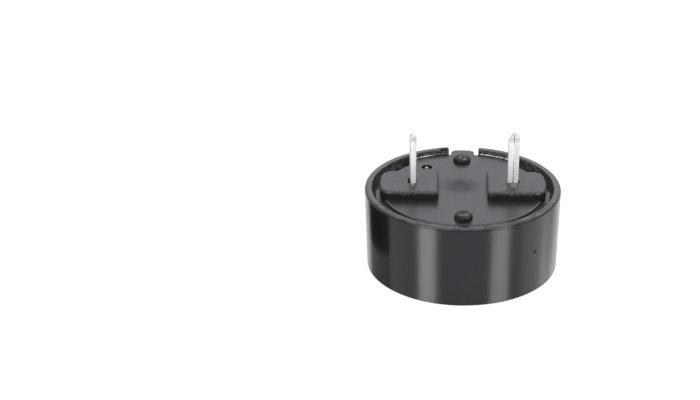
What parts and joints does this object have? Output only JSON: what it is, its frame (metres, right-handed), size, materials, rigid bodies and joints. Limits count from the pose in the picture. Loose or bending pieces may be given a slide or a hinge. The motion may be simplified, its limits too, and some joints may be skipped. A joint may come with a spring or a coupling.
{
  "type": "piezo buzzer",
  "caption": "Round piezo buzzer: a low moulded cup with a sound hole in its closed face and folded sheet pins standing up from the base plate snapped into its rim.",
  "frame": {"origin": "middle of the sound face, on the plane of the plain ring that the part stands on", "axes": "+Z out of the base plate, along the pins; +X along the row of pins, towards the pin that feeds the brass diaphragm; +Y towards the notch in the rim"},
  "size_m": [0.02, 0.02, 0.0143],
  "materials": {
    "case_plastic": "glossy black moulding",
    "plate_plastic": "satin black moulding",
    "tinned_sheet": "tinned sheet, satin",
    "diaphragm_brass": "rolled sheet, satin",
    "piezo_ceramic": "silvered ceramic, matt",
    "adhesive": "silicone bead, satin"
  },
  "bodies": {
    "root": {"case": "case_plastic", "base_plate": "plate_plastic", "ceramic_terminal": "tinned_sheet", "brass_terminal": "tinned_sheet", "diaphragm": "diaphragm_brass", "piezo_disc": "piezo_ceramic", "adhesive_ring": "adhesive"}
  },
  "joints": []
}
